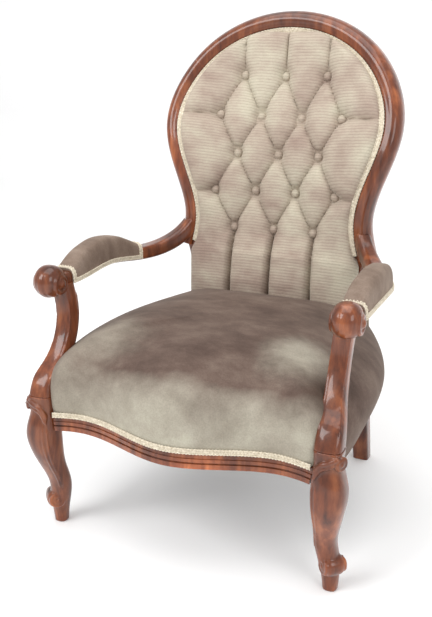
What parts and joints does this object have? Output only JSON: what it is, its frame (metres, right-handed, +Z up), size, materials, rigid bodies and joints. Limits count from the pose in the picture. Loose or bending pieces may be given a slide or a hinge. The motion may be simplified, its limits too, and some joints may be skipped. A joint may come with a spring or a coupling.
{
  "type": "spoon back armchair",
  "caption": "Open armchair with a hooped, waisted and buttoned back, padded scroll arms, a sprung serpentine-front seat and cabriole front legs.",
  "frame": {"origin": "middle of the chair's plan, on the floor", "axes": "+Z up, the chair faces -Y, +X to the right seen from the front"},
  "size_m": [0.6398, 0.6641, 0.9944],
  "materials": {
    "mahogany": "French polished, glossy, worn at the edges",
    "beech": "bare sawn hardwood",
    "screw_steel": "plain steel",
    "spring_steel": "coppered steel wire",
    "jute": "woven jute",
    "stuffing": "hair and cotton felt",
    "seat_velvet": "worn plush velvet",
    "back_velvet": "ribbed velvet",
    "braid": "cream gimp braid",
    "bottom_cotton": "black cotton"
  },
  "bodies": {
    "root": {"front_leg_left": "mahogany", "front_leg_right": "mahogany", "arm_support_left": "mahogany", "arm_support_right": "mahogany", "arm_left": "mahogany", "arm_right": "mahogany", "rear_stile_left": "mahogany", "rear_stile_right": "mahogany", "crest_left": "mahogany", "crest_right": "mahogany", "front_seat_rail": "mahogany", "side_seat_rail_left": "beech", "side_seat_rail_right": "beech", "back_seat_rail": "beech", "lower_back_rail": "beech", "corner_blocks": "beech", "front_rail_dowels": "beech", "side_rail_dowels": "beech", "back_rail_dowels": "beech", "lower_back_dowels": "beech", "crest_dowels": "beech", "arm_support_dowels": "beech", "arm_dowels": "beech", "corner_block_screws": "screw_steel", "seat_springs": "spring_steel", "seat_webbing": "jute", "back_webbing": "jute", "spring_hessian": "jute", "back_hessian": "jute", "seat_stuffing": "stuffing", "seat_cover": "seat_velvet", "bottom_cloth": "bottom_cotton", "seat_front_braid": "braid", "back_braid": "braid", "arm_braid_left": "braid", "arm_braid_right": "braid", "back_pad": "back_velvet", "back_buttons": "back_velvet", "outside_back_cover": "back_velvet", "arm_pad_left": "back_velvet", "arm_pad_right": "back_velvet"}
  },
  "joints": []
}
